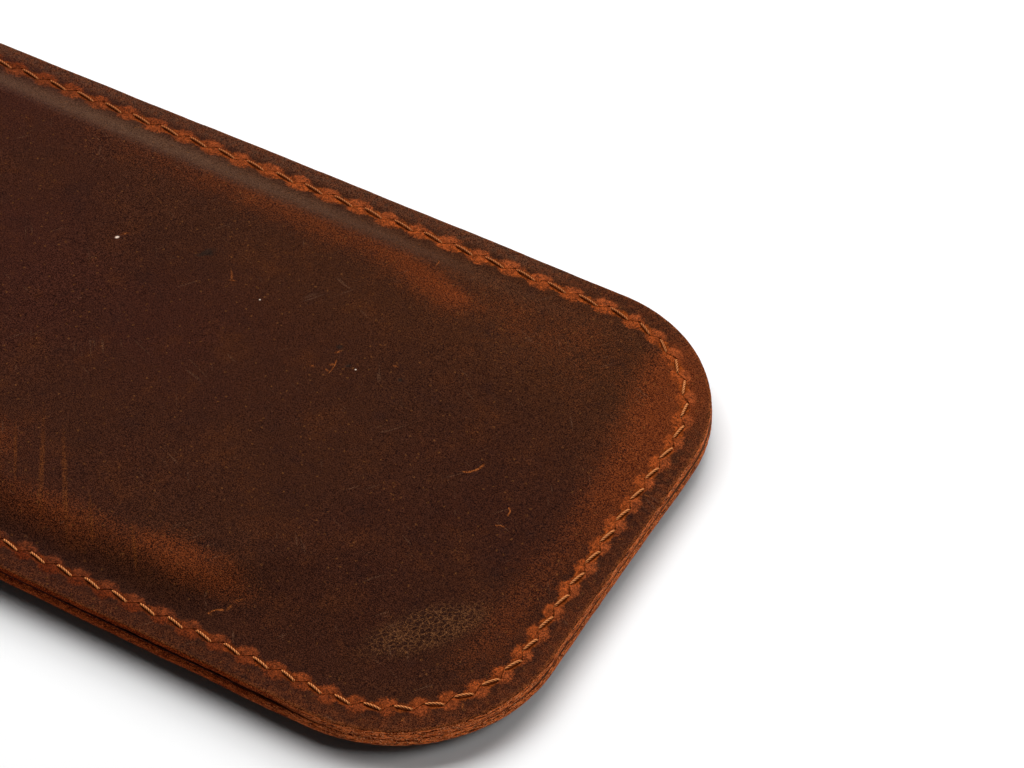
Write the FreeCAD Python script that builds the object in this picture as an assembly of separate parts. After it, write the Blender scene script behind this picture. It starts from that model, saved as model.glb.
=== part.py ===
"""A slip-in leather sleeve case: two leather panels, cemented and saddle-stitched round three sides.

Frame: +X points at the rounded closed end, -X at the open mouth, +Z up.
The origin is the middle of the footprint, on the table. Lengths are in millimetres.
"""
import FreeCAD, Part
import math
import os

from FreeCAD import Vector

os.makedirs("parts", exist_ok=True)

# ---- the whole case
LENGTH = 170.0
WIDTH = 80.0
CORNER_RADIUS = 21.5          # the two corners of the closed end
MOUTH_CORNER_RADIUS = 2.0     # the two corners beside the mouth, just taken off

# ---- the leather and the seam
LEATHER = 1.5                 # thickness of each panel
GLUE_FILM = 0.15              # dried contact cement between the panels
GLUE_WIDTH = 4.8              # how far the cement reaches in from the outline
GLUE_SETBACK = 0.15           # the cement stops just short of the cut edge

# ---- how the panels bow apart around the pocket
LOWER_BOW = 2.3               # height of the seam's underside over the table
UPPER_BOW = 2.5               # rise of the upper panel above the seam
RUBBED_FLAT = 0.05            # the lower panel's belly is worn flat by this much
BOW_START = 4.4               # distance in from the long edges where a panel leaves the seam
BOW_SIDE = 6.4                # width of the slope up to the level middle, where things in the pocket press
RELAXED_SIDE = 20.0           # width of that slope near the closed end, where nothing presses the leather
RELAX_FROM = 38.0             # place along the case where the slope starts to widen
RELAX_LENGTH = 18.0           # length over which it widens
BOW_END_START = 7.0           # the same distance at the closed end
BOW_END = 31.0                # length of the gentle slope at the closed end

# ---- the stitching, followed from the far side of the mouth round to the near side
STITCH_MARGIN = 3.4
THREAD = 0.45                 # thread diameter
THREAD_BEND = 0.34            # radius of the thread's bends, at its centre line
THREAD_GAP = 0.03             # clearance between thread and leather
SLIT_SLANT = math.radians(35)
SLIT_REACH = 0.75             # from a slit's middle to each of the two thread passes in it
SLIT_WIDTH = 0.6
BEAD_RADIUS = 0.42            # melted thread end
FIRST_HOLE_FROM_CORNER = 142.0
STITCH_RUNS = (               # the awl work is by eye, so its pitch changes from run to run
    (30, 4.85),               # far side
    (15, 3.97),               # far corner and closed end
    (10, 3.77),               # near corner
    (33, 4.14),               # near side
)

# ---- heights that follow from the above
SEAM_BOTTOM = LOWER_BOW
GLUE_BOTTOM = SEAM_BOTTOM + LEATHER
GLUE_TOP = GLUE_BOTTOM + GLUE_FILM
SEAM_TOP = GLUE_TOP + LEATHER
CLOSED_END = LENGTH / 2
SIDE = WIDTH / 2

# ---- control net of the bowed surfaces
NET_OVERHANG = 5.0            # the net runs past the outline, which then trims it
NET_CELLS_X = 60
NET_CELLS_Y = 60
DEGREE = 3


def ease(t):
    """Smooth step from 0 to 1."""
    t = min(max(t, 0.0), 1.0)
    return t * t * (3 - 2 * t)


def bow(x, y):
    """How fully a panel has left the seam plane at a point: 0 in the seam, 1 in the level middle."""
    width = BOW_SIDE + (RELAXED_SIDE - BOW_SIDE) * ease((x - RELAX_FROM) / RELAX_LENGTH)
    side = ease((SIDE - BOW_START - abs(y)) / width)
    end = ease((CLOSED_END - BOW_END_START - x) / BOW_END)
    return side * end


def net_knots(cells):
    """Knot values and multiplicities of a clamped, even net."""
    knots = [float(k) for k in range(cells + 1)]
    mults = [DEGREE + 1] + [1] * (cells - 1) + [DEGREE + 1]
    return knots, mults


def net_stations(cells, half_span):
    """Where the poles sit along one side of the net, so that a level net gives a level surface."""
    knots, mults = net_knots(cells)
    repeated = [k for k, m in zip(knots, mults) for _ in range(m)]
    poles = len(repeated) - DEGREE - 1
    means = [sum(repeated[i + 1:i + 1 + DEGREE]) / DEGREE for i in range(poles)]
    return [half_span * (2 * m / cells - 1) for m in means]


def bowed_face(base_height, rise):
    """Smooth face that lies at base_height in the seam and at base_height + rise in the middle."""
    xs = net_stations(NET_CELLS_X, CLOSED_END + NET_OVERHANG)
    ys = net_stations(NET_CELLS_Y, SIDE + NET_OVERHANG)
    poles = [[Vector(x, y, base_height + rise * bow(x, y)) for y in ys] for x in xs]
    x_knots, x_mults = net_knots(NET_CELLS_X)
    y_knots, y_mults = net_knots(NET_CELLS_Y)
    surface = Part.BSplineSurface()
    surface.buildFromPolesMultsKnots(
        poles, x_mults, y_mults, x_knots, y_knots, False, False, DEGREE, DEGREE)
    return surface.toShape()


def outline_wire(inset, height):
    """The case's outline moved in by inset: rounded at the closed end, square at the mouth."""
    near, far = -SIDE + inset, SIDE - inset
    mouth, closed = -CLOSED_END + inset, CLOSED_END - inset
    r_closed = CORNER_RADIUS - inset
    r_mouth = max(MOUTH_CORNER_RADIUS - inset, 0.5)

    def corner(cx, cy, radius, start):
        angles = (start, start + 45, start + 90)
        points = [Vector(cx + radius * math.cos(math.radians(a)),
                         cy + radius * math.sin(math.radians(a)), height) for a in angles]
        return Part.Arc(*points).toShape()

    arcs = [
        corner(closed - r_closed, near + r_closed, r_closed, -90),
        corner(closed - r_closed, far - r_closed, r_closed, 0),
        corner(mouth + r_mouth, far - r_mouth, r_mouth, 90),
        corner(mouth + r_mouth, near + r_mouth, r_mouth, 180),
    ]
    edges = []
    for here, after in zip(arcs, arcs[1:] + arcs[:1]):
        edges.append(here)
        edges.append(Part.makeLine(here.lastVertex().Point, after.firstVertex().Point))
    return Part.Wire(edges)


# ---- stitch line

def stitch_point(s):
    """Point and direction of the stitch line, s past the start of the far corner."""
    radius = CORNER_RADIUS - STITCH_MARGIN
    arc = radius * math.pi / 2
    across = WIDTH - 2 * CORNER_RADIUS
    turn_x = CLOSED_END - CORNER_RADIUS
    turn_y = SIDE - CORNER_RADIUS
    if s < 0:
        return Vector(turn_x + s, turn_y + radius, 0), 0.0
    if s < arc:
        a = s / radius
        return Vector(turn_x + radius * math.sin(a), turn_y + radius * math.cos(a), 0), -a
    if s < arc + across:
        return Vector(turn_x + radius, turn_y - (s - arc), 0), -math.pi / 2
    if s < 2 * arc + across:
        a = (s - arc - across) / radius
        return (Vector(turn_x + radius * math.cos(a), -turn_y - radius * math.sin(a), 0),
                -math.pi / 2 - a)
    return Vector(turn_x - (s - 2 * arc - across), -turn_y - radius, 0), -math.pi


def stitch_holes():
    """Middle and slant direction of every slit, in sewing order."""
    s = -FIRST_HOLE_FROM_CORNER
    stations = [s]
    for count, pitch in STITCH_RUNS:
        for _ in range(count):
            s += pitch
            stations.append(s)
    holes = []
    for station in stations:
        middle, heading = stitch_point(station)
        slant = heading + SLIT_SLANT
        holes.append((middle, Vector(math.cos(slant), math.sin(slant), 0)))
    return holes


def slit_wire(middle, along, height):
    """Outline of one slit: a narrow slot with round ends."""
    reach = along * SLIT_REACH
    half = Vector(-along.y, along.x, 0) * (SLIT_WIDTH / 2)
    tip = along * (SLIT_WIDTH / 2)
    centre = Vector(middle.x, middle.y, height)
    front, back = centre + reach, centre - reach
    return Part.Wire([
        Part.makeLine(back - half, front - half),
        Part.Arc(front - half, front + tip, front + half).toShape(),
        Part.makeLine(front + half, back + half),
        Part.Arc(back + half, back - tip, back - half).toShape(),
    ])


def slits(holes, bottom, height):
    """All the slits as one group of cutting prisms."""
    return Part.makeCompound([
        Part.Face(slit_wire(middle, along, bottom)).extrude(Vector(0, 0, height))
        for middle, along in holes])


# ---- the two panels and the cement between them

def panel(base_height, rise, holes):
    """One leather panel: a bowed slab trimmed to the outline and slit for the stitches."""
    slab = bowed_face(base_height, rise).extrude(Vector(0, 0, LEATHER))
    floor = min(base_height, base_height + rise) - 1
    depth = abs(rise) + LEATHER + 2
    block = Part.Face(outline_wire(0, floor)).extrude(Vector(0, 0, depth))
    trimmed = slab.common(block)
    return trimmed.cut(slits(holes, base_height - 0.5, LEATHER + 1))


def upper_panel(holes):
    return panel(GLUE_TOP, UPPER_BOW, holes)


def lower_panel(holes):
    """The same leather bowed downwards, worn to a true flat where it lies on the table."""
    bowed = panel(SEAM_BOTTOM, -(LOWER_BOW + RUBBED_FLAT), holes)
    above_table = Part.makeBox(2 * LENGTH, 2 * WIDTH, SEAM_TOP, Vector(-LENGTH, -WIDTH, 0))
    return bowed.common(above_table)


def glue_film(holes):
    """U-shaped band of cement along the three stitched sides, open at the mouth."""
    outer = Part.Face(outline_wire(GLUE_SETBACK, GLUE_BOTTOM))
    inner_half = SIDE - GLUE_WIDTH
    inner_end = CLOSED_END - GLUE_WIDTH
    radius = CORNER_RADIUS - GLUE_WIDTH
    pocket = Part.makeBox(
        inner_end + LENGTH, 2 * inner_half, GLUE_FILM, Vector(-LENGTH, -inner_half, GLUE_BOTTOM))
    closed_corners = [e for e in pocket.Edges
                      if e.BoundBox.ZLength > GLUE_FILM / 2 and e.CenterOfMass.x > 0]
    pocket = pocket.makeFillet(radius, closed_corners)
    band = outer.extrude(Vector(0, 0, GLUE_FILM)).cut(pocket)
    return band.cut(slits(holes, GLUE_BOTTOM - 0.5, GLUE_FILM + 1))


# ---- the thread

def thread_corners(holes):
    """Corner points of the one thread, from one trimmed end back to the first hole and out again.

    Both needles pass through every slit. Where one runs along the top, the other runs beneath.
    """
    top = Vector(0, 0, SEAM_TOP + THREAD_GAP + THREAD / 2)
    under = Vector(0, 0, SEAM_BOTTOM - THREAD_GAP - THREAD / 2)

    def needle(starts_on_top):
        on_top = starts_on_top
        path = []
        for (here, along), (after, after_along) in zip(holes, holes[1:]):
            if on_top:
                path += [here + along * SLIT_REACH + top, after - after_along * SLIT_REACH + top]
            else:
                path += [here - along * SLIT_REACH + under, after + after_along * SLIT_REACH + under]
            on_top = not on_top
        last, last_along = holes[-1]
        if not on_top:
            path.append(last - last_along * SLIT_REACH + under)
        return path

    return list(reversed(needle(True))) + needle(False)


def rounded_path(points, bend):
    """Wire through the points with every inner corner turned into an arc."""
    edges = []
    start = points[0]
    for before, corner, after in zip(points, points[1:], points[2:]):
        arriving = (corner - before).normalize()
        leaving = (after - corner).normalize()
        half_turn = arriving.getAngle(leaving) / 2
        back_off = bend * math.tan(half_turn)
        arc_start = corner - arriving * back_off
        arc_end = corner + leaving * back_off
        inward = (leaving - arriving).normalize()
        arc_middle = corner + inward * (bend / math.cos(half_turn) - bend)
        edges.append(Part.makeLine(start, arc_start))
        edges.append(Part.Arc(arc_start, arc_middle, arc_end).toShape())
        start = arc_end
    edges.append(Part.makeLine(start, points[-1]))
    return Part.Wire(edges)


def stitch_thread(holes):
    """The whole thread as one round solid, with a melted bead at each trimmed end."""
    points = thread_corners(holes)
    path = rounded_path(points, THREAD_BEND)
    profile = Part.Wire(Part.makeCircle(THREAD / 2, points[0], points[1] - points[0]))
    thread = path.makePipeShell([profile], True, False)
    hang = Vector(0, 0, BEAD_RADIUS - THREAD / 2)
    beads = [Part.makeSphere(BEAD_RADIUS, end - hang) for end in (points[0], points[-1])]
    return thread.fuse(beads)


# ---- write one file per piece

holes = stitch_holes()
pieces = {
    "upper_panel": upper_panel(holes),
    "lower_panel": lower_panel(holes),
    "glue_film": glue_film(holes),
    "stitch_thread": stitch_thread(holes),
}
for name, shape in pieces.items():
    solids = shape.Solids
    box = shape.BoundBox
    print(name, "solids", len(solids), "valid", shape.isValid(),
          "volume %.1f" % shape.Volume, "z %.2f to %.2f" % (box.ZMin, box.ZMax))
    solid = solids[0] if len(solids) == 1 else shape
    solid.exportStep("parts/%s.step" % name)
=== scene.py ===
"""Looks of the leather sleeve case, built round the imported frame. Lengths are in mm until a mesh is made."""
import math

import bpy
import numpy as np
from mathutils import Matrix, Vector
from mathutils.geometry import delaunay_2d_cdt


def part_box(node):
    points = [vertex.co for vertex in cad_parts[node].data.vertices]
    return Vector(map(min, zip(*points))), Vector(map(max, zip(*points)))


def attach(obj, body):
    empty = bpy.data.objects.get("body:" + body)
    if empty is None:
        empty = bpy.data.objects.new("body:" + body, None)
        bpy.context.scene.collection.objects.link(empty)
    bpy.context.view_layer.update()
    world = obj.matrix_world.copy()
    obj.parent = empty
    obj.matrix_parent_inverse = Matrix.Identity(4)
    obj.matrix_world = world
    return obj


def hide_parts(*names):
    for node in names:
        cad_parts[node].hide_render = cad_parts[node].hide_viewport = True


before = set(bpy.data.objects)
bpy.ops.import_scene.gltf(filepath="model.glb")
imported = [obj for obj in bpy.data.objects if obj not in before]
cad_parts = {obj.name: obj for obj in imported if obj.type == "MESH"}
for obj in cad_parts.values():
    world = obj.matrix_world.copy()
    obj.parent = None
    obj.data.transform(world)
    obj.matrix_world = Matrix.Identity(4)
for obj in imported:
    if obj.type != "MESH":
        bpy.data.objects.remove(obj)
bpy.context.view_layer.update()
MM = 0.001

# ---- sizes read off the frame
_, upper_high = (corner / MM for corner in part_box("upper_panel"))
lower_low, _ = (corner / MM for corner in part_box("lower_panel"))
film_low, film_high = (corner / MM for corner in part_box("glue_film"))
HALF_LENGTH = upper_high.x
SIDE = upper_high.y
GLUE_BOTTOM, GLUE_TOP = film_low.z, film_high.z

# ---- sizes that belong to the leather work
LEATHER = 1.5
CORNER_RADIUS = 21.5
MOUTH_CORNER_RADIUS = 2.0
SEAM_TOP = GLUE_TOP + LEATHER
SEAM_BOTTOM = GLUE_BOTTOM - LEATHER
UPPER_BOW = upper_high.z - SEAM_TOP
LOWER_BOW = SEAM_BOTTOM - lower_low.z

# the slope from the seam to the level middle: its start and width along the sides, where it widens
# towards the closed end, and its start and width at that end
BOW_START, BOW_SIDE, RELAXED_SIDE = 4.4, 6.4, 20.0
RELAX_FROM, RELAX_LENGTH = 38.0, 18.0
BOW_END_START, BOW_END = 7.0, 31.0

STITCH_MARGIN = 3.4
FIRST_HOLE_FROM_CORNER = 142.0
STITCH_RUNS = ((30, 4.85), (15, 3.97), (10, 3.77), (33, 4.14))
SLIT_SLANT = math.radians(31)
SLIT_REACH = 0.7  # from a slit's middle to where the thread goes through
SLIT_TIP = 0.24  # from there to the slit's end
SLIT_HALF_WIDTH = 0.13
SLIT_PINCH = 0.13  # share of that width left open at the middle
THREAD_RADIUS = 0.18
THREAD_BEND = 0.3
THREAD_DIVE = 0.26  # how far below the leather's face a run of thread ends
THREAD_CREST = 0.07  # how far above it the middle of the run rises
THREAD_TUCK = 0.08  # share of a run hidden at each end

STRAIGHT = 2 * HALF_LENGTH - CORNER_RADIUS
ACROSS = 2 * (SIDE - CORNER_RADIUS)
TURN_X = HALF_LENGTH - CORNER_RADIUS
TURN_Y = SIDE - CORNER_RADIUS


# ---------------------------------------------------------------- shape

def ease(t):
    """Smooth step: 0 up to t = 0, 1 from t = 1."""
    t = np.clip(t, 0, 1)
    return t * t * (3 - 2 * t)


LATTICE = 64


def lattice_noise(x, y, seed):
    """Smooth noise between -1 and 1 with features one unit wide."""
    table = np.random.RandomState(seed).uniform(-1, 1, (LATTICE, LATTICE))
    cell_x, cell_y = np.floor(x).astype(int), np.floor(y).astype(int)
    fx, fy = ease(x - cell_x), ease(y - cell_y)

    def corner(dx, dy):
        return table[(cell_x + dx) % LATTICE, (cell_y + dy) % LATTICE]

    near = corner(0, 0) * (1 - fx) + corner(1, 0) * fx
    far = corner(0, 1) * (1 - fx) + corner(1, 1) * fx
    return near * (1 - fy) + far * fy


def fractal_noise(x, y, seed, octaves=3):
    """Layers of smooth noise, each about twice as fine and half as strong as the last."""
    total, scale, weight = 0, 1.0, 1.0
    for octave in range(octaves):
        total = total + weight * lattice_noise(x * scale, y * scale, seed + octave)
        scale, weight = scale * 2.1, weight * 0.5
    return total


def bow(x, y):
    """How fully a panel has left the seam: 0 in the seam, 1 in the level middle."""
    width = BOW_SIDE + (RELAXED_SIDE - BOW_SIDE) * ease((x - RELAX_FROM) / RELAX_LENGTH)
    side = ease((SIDE - BOW_START - np.abs(y)) / width)
    end = ease((HALF_LENGTH - BOW_END_START - x) / BOW_END)
    return side * end


def inside_distance(x, y, mouth=True):
    """Distance in from the outline; with mouth=False the open end isn't counted."""
    radius = np.where((x > 0) | (not mouth), CORNER_RADIUS, MOUTH_CORNER_RADIUS)
    from_end = np.abs(x) if mouth else x
    qx, qy = from_end - HALF_LENGTH + radius, np.abs(y) - SIDE + radius
    outside = np.hypot(np.maximum(qx, 0), np.maximum(qy, 0))
    return radius - np.minimum(np.maximum(qx, qy), 0) - outside


def rim(u, inset):
    """Points and outward normals of the outline moved in by inset.

    u is the distance along it from the far side of the mouth.
    """
    radius = CORNER_RADIUS - inset
    arc = radius * math.pi / 2
    marks = np.cumsum([STRAIGHT, arc, ACROSS, arc])
    u = np.asarray(u, float)
    angle = np.select(
        [u < marks[0], u < marks[1], u < marks[2], u < marks[3]],
        [np.pi / 2 + 0 * u, np.pi / 2 - (u - marks[0]) / radius, 0 * u, -(u - marks[2]) / radius],
        -np.pi / 2)
    normal = np.stack([np.cos(angle), np.sin(angle)], -1)
    centre_x = np.where(u < marks[0], u - marks[0], np.where(u > marks[3], marks[3] - u, 0)) + TURN_X
    centre_y = np.select([u < marks[1], u < marks[2]], [TURN_Y + 0 * u, TURN_Y - (u - marks[1])], -TURN_Y)
    return np.stack([centre_x, centre_y], -1) + radius * normal, normal


def rim_length(inset):
    """Length of the outline moved in by inset, open end left out."""
    return 2 * STRAIGHT + ACROSS + (CORNER_RADIUS - inset) * math.pi


def stitch_holes():
    """Middles of the slits in sewing order, with the directions of their slant and out of the seam."""
    stations = [STRAIGHT - FIRST_HOLE_FROM_CORNER]
    for count, pitch in STITCH_RUNS:
        stations += [stations[-1] + pitch * (k + 1) for k in range(count)]
    middle, normal = rim(np.array(stations), STITCH_MARGIN)
    forward = np.stack([normal[:, 1], -normal[:, 0]], -1)
    slant = math.cos(SLIT_SLANT) * forward + math.sin(SLIT_SLANT) * normal
    return middle, slant, normal


hole_at, hole_along, hole_normal = stitch_holes()
hole_across = np.stack([-hole_along[:, 1], hole_along[:, 0]], -1)
front_pass = hole_at + hole_along * SLIT_REACH
back_pass = hole_at - hole_along * SLIT_REACH


def segment_distance(points, starts, ends):
    """Distance from each point to the nearest of the segments."""
    best = np.full(len(points), np.inf)
    for a, b in zip(starts, ends):
        span = b - a
        t = np.clip((points - a) @ span / (span @ span), 0, 1)
        best = np.minimum(best, np.hypot(*(points - a - t[:, None] * span).T))
    return best


# ---- the leather puffed up beside each slit
LOBE_ACROSS, LOBE_OFFSET = 1.0, 0.42
LOBE_SHARE_OF_PITCH, LOBE_GAP = 0.38, 0.1
LOBE_UNEVENNESS = 0.1


def lobes(points):
    """Nearness to the middles of the puffed lobes beside each slit: 1 at a middle, 0 at a lobe's border."""
    best = -np.ones(len(points))
    last = len(hole_at) - 1
    for k, (at, normal) in enumerate(zip(hole_at, hole_normal)):
        forward = np.array((normal[1], -normal[0]))
        pitch = np.linalg.norm(hole_at[min(k + 1, last)] - hole_at[min(k, last - 1)])
        for sign in (1, -1):
            size = 1 + LOBE_UNEVENNESS * math.sin(2.4 * k + sign)
            off = points - at - normal * sign * LOBE_OFFSET
            lengthways = off @ forward / (LOBE_SHARE_OF_PITCH * pitch - LOBE_GAP)
            reach = np.hypot(lengthways, off @ normal / LOBE_ACROSS)
            best = np.maximum(best, 1 - reach / size)
    return best


# ---- how finely the panels are divided
OUTLINE_STEP = 0.27
MOUTH_STEP = 0.5
MOUTH_CORNER_POINTS = 9
SLIT_POINTS = 16
FINE_BAND = 13.0
FIRST_ROW = 0.14
ROW_HEIGHT = 0.87
CLEARANCE = 0.1
MERGE_DISTANCE = 1e-6


def outline_loop():
    """Points and outward normals of the whole outline, with the mouth and its two small corners."""
    r = MOUTH_CORNER_RADIUS
    sides, side_normals = rim(np.arange(r, rim_length(0) - r, OUTLINE_STEP), 0)
    angles = np.linspace(0, np.pi / 2, MOUTH_CORNER_POINTS)
    near_turn = np.stack([-np.sin(angles), -np.cos(angles)], -1)
    near_corner = np.array([-HALF_LENGTH + r, -SIDE + r]) + r * near_turn
    far_turn = near_turn[::-1] * (1, -1)
    far_corner = near_corner[::-1] * (1, -1)
    edge_y = np.arange(-SIDE + r + MOUTH_STEP, SIDE - r - 0.2, MOUTH_STEP)
    mouth = np.stack([np.full_like(edge_y, -HALF_LENGTH), edge_y], -1)
    mouth_normals = np.tile((-1.0, 0.0), (len(mouth), 1))
    outline = np.concatenate([sides, near_corner, mouth, far_corner[:-1]])
    normals = np.concatenate([side_normals, near_turn, mouth_normals, far_turn[:-1]])
    return outline, normals


def slit_loops():
    """Points round every slit's opening, which is pinched nearly shut in its middle."""
    t = np.linspace(0, 2 * np.pi, SLIT_POINTS, endpoint=False)
    reach = (SLIT_REACH + SLIT_TIP) * np.cos(t)
    open_here = SLIT_PINCH + (1 - SLIT_PINCH) * np.cos(t) ** 2
    width = SLIT_HALF_WIDTH * open_here * np.sign(np.sin(t)) * np.abs(np.sin(t)) ** 0.7
    return [
        at + reach[:, None] * along + width[:, None] * across
        for at, along, across in zip(hole_at, hole_along, hole_across)]


def fill_points(spacing_at, core_spacing):
    """Points between the loops, clear of the slits: rows along the outline, then a grid in the middle."""
    fill = []
    inset, odd = FIRST_ROW, 0.0
    while inset < FINE_BAND:
        gap = spacing_at(inset)
        row_u = np.arange(0.1 + odd * gap, rim_length(inset), gap)
        fill.append(rim(row_u, inset)[0])
        inset, odd = inset + ROW_HEIGHT * gap, 0.5 - odd
    gx, gy = np.meshgrid(
        np.arange(-HALF_LENGTH, HALF_LENGTH, core_spacing),
        np.arange(-SIDE, SIDE, core_spacing * ROW_HEIGHT))
    gx = gx + (np.arange(len(gx)) % 2)[:, None] * core_spacing / 2
    grid = np.stack([gx.ravel(), gy.ravel()], -1)
    fill.append(grid[inside_distance(grid[:, 0], grid[:, 1], mouth=False) > FINE_BAND])
    fill = np.concatenate(fill)
    keep = inside_distance(fill[:, 0], fill[:, 1]) > CLEARANCE
    for at, along, across in zip(hole_at, hole_along, hole_across):
        off = fill - at
        beside = np.abs(off @ across) < SLIT_HALF_WIDTH
        keep &= ~((np.abs(off @ along) < SLIT_REACH + SLIT_TIP + CLEARANCE) & beside)
    return fill[keep]


def plan_mesh(spacing_at, core_spacing):
    """Triangles of the outline seen from above, slits left open.

    Returns the points, the triangles, the point numbers of each loop and the outline's normals.
    """
    outline, normals = outline_loop()
    borders = [outline] + slit_loops()
    starts = np.cumsum([0] + [len(border) for border in borders])
    loops = [np.arange(start, end) for start, end in zip(starts, starts[1:])]
    points = np.concatenate(borders + [fill_points(spacing_at, core_spacing)])

    edges = [(int(a), int(b)) for loop in loops for a, b in zip(loop, np.roll(loop, -1))]
    made = delaunay_2d_cdt([Vector(p) for p in points], edges, [], 0, MERGE_DISTANCE)
    new_of = np.full(len(points), -1)
    for new, originals in enumerate(made[3]):
        for old in originals:
            new_of[old] = new
    plan = np.array([tuple(v) for v in made[0]])
    loops = [new_of[loop] for loop in loops]

    # open the slits, and turn every triangle's face up
    slit_of = np.full(len(plan), -1)
    for number, loop in enumerate(loops[1:]):
        slit_of[loop] = number
    triangles = np.array([face for face in made[2] if len(face) == 3])
    a, b, c = (slit_of[triangles[:, k]] for k in range(3))
    triangles = triangles[~((a >= 0) & (a == b) & (b == c))]
    side_a = plan[triangles[:, 1]] - plan[triangles[:, 0]]
    side_b = plan[triangles[:, 2]] - plan[triangles[:, 0]]
    clockwise = side_a[:, 0] * side_b[:, 1] < side_a[:, 1] * side_b[:, 0]
    triangles[clockwise] = triangles[clockwise][:, ::-1]
    return plan, triangles, loops, normals


def fine_spacing(inset):
    """Distance between the grain side's points: closest at the rim and round the stitches."""
    return min(0.2 + 0.16 * max(abs(inset - STITCH_MARGIN) - 0.6, 0), 0.28 + 0.5 * inset)


def coarse_spacing(inset):
    """Distance between the flesh side's points, the same at every inset."""
    return 1.3


# ---- small relief of a panel's outer face
STITCH_BAND = 3.0
PUFF_HEIGHT, PUFF_STEEPNESS = 0.17, 1.6
GROOVE_DEPTH, GROOVE_WIDTH, GROOVE_SHADE_WIDTH = 0.16, 0.32, 0.33
VALLEY_DEPTH, VALLEY_WIDTH = 0.1, 1.4
SEAM_LINE_WIDTH = 0.75
RIM_ROUND = 0.12


def seam_relief(points, starts, ends):
    """Small heights on a panel's outer face: puffed lobes, thread grooves, a shallow valley, rounded rim."""
    x, y = points.T
    inset = inside_distance(x, y, mouth=False)
    rim_in = inside_distance(x, y)
    relief = 0.035 * fractal_noise(x / 14, y / 14, 11) + 0.02 * fractal_noise(x / 3, y / 3, 21)
    band = np.abs(inset - STITCH_MARGIN) < STITCH_BAND
    near = points[band]
    puff = ease(lobes(near) * PUFF_STEEPNESS)
    groove = np.exp(-(segment_distance(near, starts, ends) / GROOVE_WIDTH) ** 2)
    relief[band] += PUFF_HEIGHT * puff - GROOVE_DEPTH * groove
    relief[band] -= VALLEY_DEPTH * np.exp(-((inset[band] - STITCH_MARGIN) / VALLEY_WIDTH) ** 2)
    curl = RIM_ROUND - np.clip(rim_in, 0, RIM_ROUND)
    relief -= RIM_ROUND - np.sqrt(np.maximum(RIM_ROUND ** 2 - curl ** 2, 0))
    return relief


def seam_masks(points, starts, ends):
    """How near the grain is to the stitching: lobes, the thread's groove, the seam line and its outside."""
    inset = inside_distance(points[:, 0], points[:, 1], mouth=False)
    band = np.abs(inset - STITCH_MARGIN) < STITCH_BAND
    near = points[band]
    found = {"lobe": -np.ones(len(points)), "groove": np.zeros(len(points))}
    found["lobe"][band] = lobes(near)
    # painted shade along the thread's groove
    found["groove"][band] = np.exp(-(segment_distance(near, starts, ends) / GROOVE_SHADE_WIDTH) ** 2)
    found["seam"] = np.exp(-((inset - STITCH_MARGIN) / SEAM_LINE_WIDTH) ** 2)
    found["outer"] = ease((STITCH_MARGIN - inset) / 0.7 + 0.5)
    return found


def open_part(starts, ends):
    """The part of each run of thread that lies in the open, between its tucked-in ends."""
    tuck = THREAD_TUCK * (ends - starts)
    return starts + tuck, ends - tuck


def patch(x, y, middle, half_x, half_y, soft=1.0):
    """Soft spot, 1 at its middle and 0 far off. The middle is a distance from the closed end and a y."""
    reach = np.hypot((HALF_LENGTH - x - middle[0]) / half_x, (y - middle[1]) / half_y)
    return np.exp(-reach ** (2 * soft))


MARGIN_WIDTH, MARGIN_FADE = 2.6, 1.2


def upper_wear(points):
    """What colours the upper panel: orange where it has bent, a painted sheen along the far slope and a paler
    far margin, rubbed grain, and painted shade in the near valley.
    """
    x, y = points.T
    back = HALF_LENGTH - x
    inset = inside_distance(x, y, mouth=False)
    ridge_y = 29.0 - 2.6 * ease((52 - back) / 13)
    ridge_width = np.where(y > ridge_y, 2.0, 3.4)
    ridge = np.exp(-((y - ridge_y) / ridge_width) ** 2) * ease((125 - back) / 60) * ease((back - 36) / 4)
    end_zone = ease((14.3 - back + 0.1 * (y - 20)) / 7.5) * ease((y + 12) / 26) * ease((back - 2) / 2.5)
    along_rub = ((back - 15.5) * 10 - (y + 22.5) * 13) / 16.4
    across_rub = ((back - 15.5) * 13 + (y + 22.5) * 10) / 16.4
    near_margin = 0.5 + 0.3 * ease((36 - back) / 12)
    margin = 0.5 * ease((18 - back) / 10) + near_margin * ease(-y / 20) + 0.7 * ease(y / 20)
    flex = (
        (0.5 + 0.2 * ease((62 - back) / 20)) * ridge
        + 0.8 * end_zone * ease((38 - y) / 4)
        + 0.42 * patch(x, y, (7.5, -16), 4, 16)
        + 0.62 * patch(x, y, (45.5, -29.2), 9.5, 3.2, 1.6)
        + 0.55 * patch(x, y, (65, -30.6), 11, 2.9, 1.3)
        + 0.5 * patch(x, y, (79, -25.5), 4.0, 4.5)
        + 0.3 * patch(x, y, (27, 29), 17, 8, 1.3)
        + 0.5 * patch(x, y, (4, 28), 7, 10))
    # pale grey: a painted sheen along the far slope, and a paler far margin
    sheen_and_bloom = (
        0.9 * patch(x, y, (100, 33.0), 56, 2.4, 1.5)
        + 0.55 * ease((y - 37.6) / 1.0) * ease((back - 22) / 14))
    # painted shade: the dark valley on the near slope beside the seam, and a patch near the mouth
    shade = 0.7 * patch(x, y, (60, -34.9), 22, 1.3, 1.6) + 0.5 * patch(x, y, (78, 15), 9, 5)
    return {
        "flex": np.clip(flex, 0, 1),
        "sheen_and_bloom": np.clip(sheen_and_bloom, 0, 1),
        "rubbed": np.exp(-np.hypot(along_rub / 8.5, across_rub / 2.9) ** 2.6),
        "shade": np.clip(shade, 0, 1),
        "margin": np.clip(margin, 0, 1) * ease((MARGIN_WIDTH - inset) / MARGIN_FADE)}


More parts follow.
